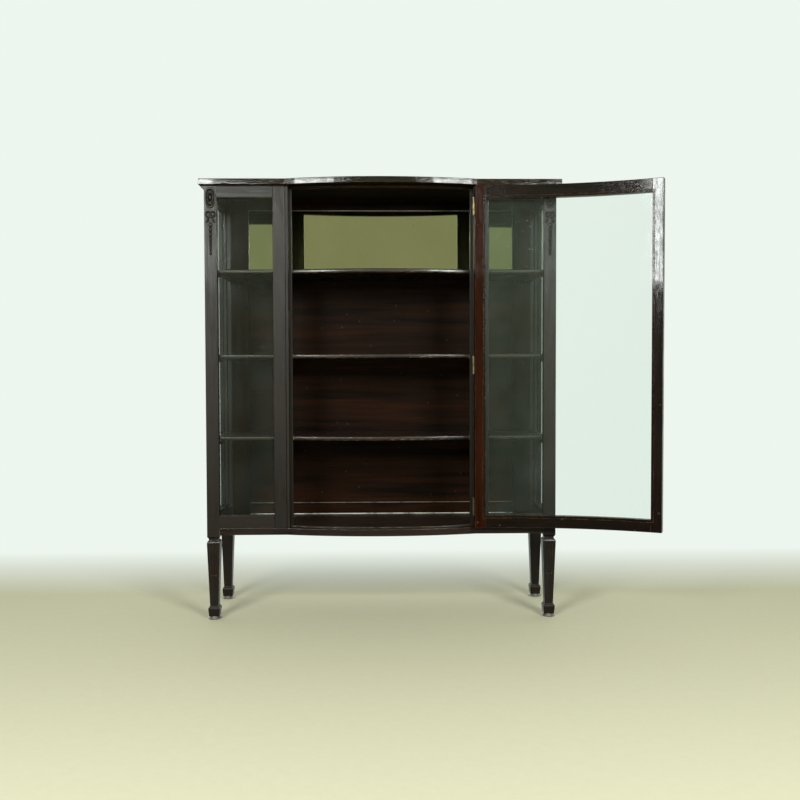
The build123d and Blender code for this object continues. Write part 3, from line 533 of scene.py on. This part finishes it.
# ---------------------------------------------------------------- carvings on the front posts
CARVING_STEP = 0.0005
CARVING_ROOT = 0.0006
BLOCK_DEPTH = 0.0015
RELIEF = 0.0029
# The thin ground round each relief, standing just out of the post's face in the carving's darkest
# colour, is a painted shadow: its height, and its reach in grid cells.
SHADOW_GROUND_HEIGHT = 0.00015
SHADOW_GROUND_CELLS = 2
PATERA_HALF = (0.0170, 0.0338)
PATERA_PETALS = 18
HUSKS = 7
HUSK_LENGTH = 0.106
HUSK_HALF_WIDTH = 0.0066
RIBBON_HALF_WIDTH = 0.0024
RIBBON_RELIEF = 0.0026
KNOT_HALF = (0.0036, 0.0042)


def smooth_step(a, b, x):
    """Rises smoothly from 0 at a to 1 at b."""
    t = min(1.0, max(0.0, (x - a) / (b - a)))
    return t * t * (3 - 2 * t)


def patera_height(x, z):
    """An oval boss: a rim bead round a ring of petals and a raised eye."""
    u = x / PATERA_HALF[0]
    v = z / PATERA_HALF[1]
    r = math.hypot(u, v)
    if r > 1.0:
        return 0.0
    angle = math.atan2(v, u)
    rim = math.sqrt(max(0.0, 1 - ((r - 0.90) / 0.095) ** 2))
    petal = abs(math.cos(angle * PATERA_PETALS / 2)) ** 0.7
    field = petal * smooth_step(0.80, 0.68, r) * smooth_step(0.26, 0.42, r) * (0.55 + 0.45 * r)
    eye = math.sqrt(max(0.0, 1 - (r / 0.25) ** 2))
    return RELIEF * max(rim * 0.85, field, eye * 0.9)


def stroke(x, z, points, half_width):
    """How far inside a drawn ribbon a point is, from 0 at its edge to 1 on its middle."""
    best = 1e9
    for (x0, z0), (x1, z1) in zip(points, points[1:]):
        dx, dz = x1 - x0, z1 - z0
        t = max(0.0, min(1.0, ((x - x0) * dx + (z - z0) * dz) / (dx * dx + dz * dz)))
        best = min(best, math.hypot(x - x0 - t * dx, z - z0 - t * dz))
    return max(0.0, 1 - best / half_width)


def loop_points(side):
    """One loop of the ribbon bow, an oval that leaves the knot and comes back to it."""
    turns = [math.pi * 2 * i / 18 for i in range(19)]
    return [(side * (0.0078 - 0.0066 * math.cos(a)), 0.0075 + 0.0075 * math.sin(a)) for a in turns]


def tail_points(side):
    """One end of the ribbon, waving out and down from the knot."""
    steps = [i / 10 for i in range(11)]
    return [
        (side * (0.0012 + 0.0118 * t + 0.0022 * math.sin(t * 2 * math.pi)), 0.001 - 0.0185 * t)
        for t in steps
    ]


RIBBONS = [points(side) for side in (-1, 1) for points in (loop_points, tail_points)]


def bow_height(x, z):
    """A tied ribbon bow with two loops, two tails and a round knot; z is counted from the knot."""
    ribbon = max(stroke(x, z, points, RIBBON_HALF_WIDTH) for points in RIBBONS)
    knot = max(0.0, 1 - math.hypot(x / KNOT_HALF[0], z / KNOT_HALF[1]))
    return max(RIBBON_RELIEF * math.sqrt(ribbon), RELIEF * math.sqrt(knot))


def husk_height(x, z):
    """A string of husks, each a bell of three petals, smaller downwards; z runs down from 0."""
    along = -z / HUSK_LENGTH * HUSKS
    index = math.floor(along)
    if index < 0 or index >= HUSKS:
        return 0.0
    size = 1 - 0.45 * index / (HUSKS - 1)
    t = along - index
    half = HUSK_HALF_WIDTH * size * math.sin(math.pi * min(1.0, 0.06 + t * 0.90)) ** 0.8
    if abs(x) >= half:
        return 0.0
    across = x / half
    petals = 0.55 + 0.45 * abs(math.cos(across * math.pi * 1.5))
    return RELIEF * (1 - across ** 4) * petals * (0.35 + 0.65 * math.sin(math.pi * t))


def relief_grid(half_x, low, high, height):
    """Rows of relief heights, with a thin ground left round whatever stands up; in the carving's
    darkest colour, that ground is a painted shadow round the relief.
    """
    columns = round(2 * half_x / CARVING_STEP) + 1
    rows = round((high - low) / CARVING_STEP) + 1
    xs = [-half_x + 2 * half_x * i / (columns - 1) for i in range(columns)]
    zs = [low + (high - low) * j / (rows - 1) for j in range(rows)]
    grid = [[height(x, z) for x in xs] for z in zs]
    near = range(-SHADOW_GROUND_CELLS, SHADOW_GROUND_CELLS + 1)
    for j in range(1, rows - 1):
        for i in range(1, columns - 1):
            if grid[j][i] > SHADOW_GROUND_HEIGHT:
                continue
            around = [
                grid[min(rows - 1, max(0, j + b))][min(columns - 1, max(0, i + a))]
                for a in near
                for b in near
            ]
            if max(around) > 2 * SHADOW_GROUND_HEIGHT:
                grid[j][i] = SHADOW_GROUND_HEIGHT
    return xs, zs, grid


def carving(name, centre_x, size, origin_z, height):
    """A closed carved block: its relief stands out of the post's face, its root lies in the wood."""
    xs, zs, grid = relief_grid(*size, height)
    columns, rows = len(xs), len(zs)
    verts = []
    for z, row in zip(zs, grid):
        for x, relief in zip(xs, row):
            depth = -relief if relief > 0 else CARVING_ROOT
            verts.append((centre_x + x, depth, origin_z + z))
    front = len(verts)
    faces = []
    for j in range(rows - 1):
        for i in range(columns - 1):
            a = j * columns + i
            faces.append((a, a + 1, a + columns + 1, a + columns))
    border = list(range(columns))
    border += [(j + 1) * columns - 1 for j in range(1, rows)]
    border += [rows * columns - 1 - i for i in range(1, columns)]
    border += [(rows - 1 - j) * columns for j in range(1, rows - 1)]
    for index in border:
        x, _, z = verts[index]
        verts.append((x, CARVING_ROOT + BLOCK_DEPTH, z))
    count = len(border)
    for i in range(count):
        j = (i + 1) % count
        faces.append((border[i], front + i, front + j, border[j]))
    faces.append(tuple(front + i for i in range(count)))
    data = bpy.data.meshes.new(name)
    data.from_pydata(verts, [], faces)
    mesh = bmesh.new()
    mesh.from_mesh(data)
    bmesh.ops.recalc_face_normals(mesh, faces=mesh.faces)
    mesh.to_mesh(data)
    mesh.free()
    piece = bpy.data.objects.new(name, data)
    bpy.context.collection.objects.link(piece)
    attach(piece, "case")
    return piece


# Colours by crest height: near-black hollows, partly old polish and partly painted shade, up to pale
# crests, partly rubbed and partly a painted highlight.
CARVED_POLISH_SHADE_AND_HIGHLIGHT_STOPS = [
    (0.0, (0.0010, 0.0009, 0.0007)),
    (0.7, (0.004, 0.0032, 0.0025)),
    (1.0, (0.050, 0.042, 0.032)),
]
# Depths, in the CAD's Y, at which a carving's crest begins and is full.
CREST_Y = (-0.0003, -0.0019)


def carved_wood():
    """Dark varnished carving: hollows darkened partly by old polish and partly as painted shade, crests
    paled partly by rubbing and partly as a painted highlight.
    """
    t = Tree("carved_wood")
    place = t.object_place()
    crest = t.spread(t.axes(place)["Y"], *CREST_Y, 0.0, 1.0)
    grain = t.noise(t.mapping(place, scale=GRAIN_SCALES["z"]), 160.0, detail=3.0)
    colour = t.ramp(crest, CARVED_POLISH_SHADE_AND_HIGHLIGHT_STOPS)
    colour = t.mix(0.5, colour, t.ramp(grain, [(0.35, 0.6), (0.65, 1.0)]), "MULTIPLY")
    roughness = t.spread(t.noise(place, 90.0, detail=3.0), 0.3, 0.7, 0.28, 0.45)
    return t.finish(t.principled(**{
        "Base Color": colour,
        "Roughness": roughness,
        "Specular IOR Level": 0.05,
        "Coat Weight": t.spread(crest, 0.4, 1.0, 0.0, 0.5),
        "Coat Roughness": 0.15,
    }))


# Where the carvings stand on a post: their middle line, and the heights of their origins.
CARVING_X = 0.5525
PATERA_Z = 1.378
BOW_Z = 1.3165
HUSK_TOP_Z = 1.2975
BOW_SIZE = (0.0175, -0.0200, 0.0185)
HUSK_SIZE = (0.0080, -HUSK_LENGTH, 0.0)


def make_carvings():
    """Patera, bow and husk drop on both front posts."""
    tall = PATERA_HALF[1] + CARVING_STEP
    wide = PATERA_HALF[0] + CARVING_STEP
    kinds = (
        ("patera", (wide, -tall, tall), PATERA_Z, patera_height),
        ("ribbon_bow", BOW_SIZE, BOW_Z, bow_height),
        ("husk_drop", HUSK_SIZE, HUSK_TOP_Z, husk_height),
    )
    finish = carved_wood()
    pieces = []
    for side, word in ((-1, "left"), (1, "right")):
        for kind, size, origin_z, height in kinds:
            pieces.append(carving(f"{word}_{kind}", side * CARVING_X, size, origin_z, height))
    for piece in pieces:
        piece.data.materials.append(finish)
    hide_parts("post_carvings")


make_carvings()


# ---------------------------------------------------------------- floor, light and camera
BACKDROP_COLOUR = (0.85, 0.92, 0.855)
FLOOR_COLOUR = (0.675, 0.64, 0.465)
FLOOR_RADIUS = 16.0
FLOOR_FADE_Y = (0.35, 1.15)
FRONT_CENTRE = (0.258, 0.268, 0.165)
FRONT_SIDES = (0.11, 0.113, 0.088)
BEHIND = (0.68, 0.74, 0.67)


def make_floor():
    """A plain pale floor that turns into the backdrop behind the cabinet, so that it has no horizon."""
    data = bpy.data.meshes.new("studio_floor")
    mesh = bmesh.new()
    bmesh.ops.create_circle(mesh, cap_ends=True, segments=96, radius=FLOOR_RADIUS)
    mesh.to_mesh(data)
    mesh.free()
    floor = bpy.data.objects.new("studio_floor", data)
    bpy.context.collection.objects.link(floor)
    t = Tree("pale_floor")
    place = t.object_place()
    far = t.spread(t.axes(place)["Y"], *FLOOR_FADE_Y, 0.0, 1.0)
    speckle = t.ramp(t.noise(place, 35.0, detail=6.0, roughness=0.7), [(0.35, 0.75), (0.65, 1.0)])
    colour = t.mix(0.12, FLOOR_COLOUR, speckle, "MULTIPLY")
    near = t.principled(**{"Base Color": colour, "Roughness": 0.8})
    glow = t.add("ShaderNodeEmission")
    glow.inputs["Color"].default_value = (*BACKDROP_COLOUR, 1)
    glow.inputs["Strength"].default_value = 1.0
    data.materials.append(t.finish(t.blend(far, near, glow.outputs[0])))
    # The photo's room is dim in front of the cabinet, so the floor isn't mirrored in panes and polish.
    floor.visible_glossy = False


def make_world():
    """A pale studio surround: bright behind the cabinet, and a dim olive room in front of it."""
    world = bpy.data.worlds.new("studio")
    bpy.context.scene.world = world
    t = Tree("studio", world)
    axes = t.axes(t.add("ShaderNodeTexCoord").outputs["Generated"])
    aside = t.spread(t.math("ABSOLUTE", axes["X"]), 0.22, 0.50, 0.0, 1.0)
    front = t.add("ShaderNodeVectorMath", operation="SCALE")
    t.link(t.mix(aside, FRONT_CENTRE, FRONT_SIDES), front.inputs[0])
    t.link(t.spread(axes["Z"], -0.22, 0.06, 0.35, 1.0), front.inputs["Scale"])
    behind = t.spread(axes["Y"], -0.15, 0.35, 0.0, 1.0)
    lit = t.add("ShaderNodeBackground")
    t.link(t.mix(behind, front.outputs["Vector"], BEHIND), lit.inputs["Color"])
    seen = t.add("ShaderNodeBackground")
    seen.inputs["Color"].default_value = (*BACKDROP_COLOUR, 1)
    path = t.add("ShaderNodeLightPath")
    t.finish(t.blend(path.outputs["Is Camera Ray"], lit.outputs[0], seen.outputs[0]))


# Each softbox: its name, place, size and power; both are aimed at the middle of the cabinet.
SOFTBOXES = (
    ("left_softbox", (-1.56, -3.05, 2.08), (0.96, 1.35), 80),
    ("right_softbox", (1.70, -3.05, 2.10), (0.90, 1.3), 80),
)
LIGHT_TARGET = (0, 0, 0.9)
LIGHT_COLOUR = (0.955, 1.0, 0.97)


def make_lights():
    """Two softboxes, one on each side of the camera, as the photo's reflections show."""
    for name, place, size, power in SOFTBOXES:
        data = bpy.data.lights.new(name, "AREA")
        data.shape = "RECTANGLE"
        data.size, data.size_y = size
        data.energy = power
        data.color = LIGHT_COLOUR
        lamp = bpy.data.objects.new(name, data)
        lamp.location = place
        aim = Vector(LIGHT_TARGET) - Vector(place)
        lamp.rotation_euler = aim.to_track_quat("-Z", "Y").to_euler()
        bpy.context.collection.objects.link(lamp)


# The camera that was fitted to the photo, in metres, radians and millimetres of lens.
CAMERA_PLACE = (-0.0035, -3.0005, 0.8179)
CAMERA_YAW = 0.02142
CAMERA_PITCH = 0.03266
CAMERA_ROLL = 0.0028
SENSOR = 36.0
FOCAL = 41.26


def make_camera():
    """The photo's view of the cabinet."""
    data = bpy.data.cameras.new("camera")
    data.sensor_width = SENSOR
    data.lens = FOCAL
    data.clip_end = 100
    camera = bpy.data.objects.new("camera", data)
    camera.location = CAMERA_PLACE
    camera.rotation_mode = "XYZ"
    camera.rotation_euler = (math.pi / 2 - CAMERA_PITCH, CAMERA_ROLL, -CAMERA_YAW)
    bpy.context.collection.objects.link(camera)
    bpy.context.scene.camera = camera


make_floor()
make_world()
make_lights()
make_camera()
bpy.context.scene.view_settings.view_transform = "Standard"
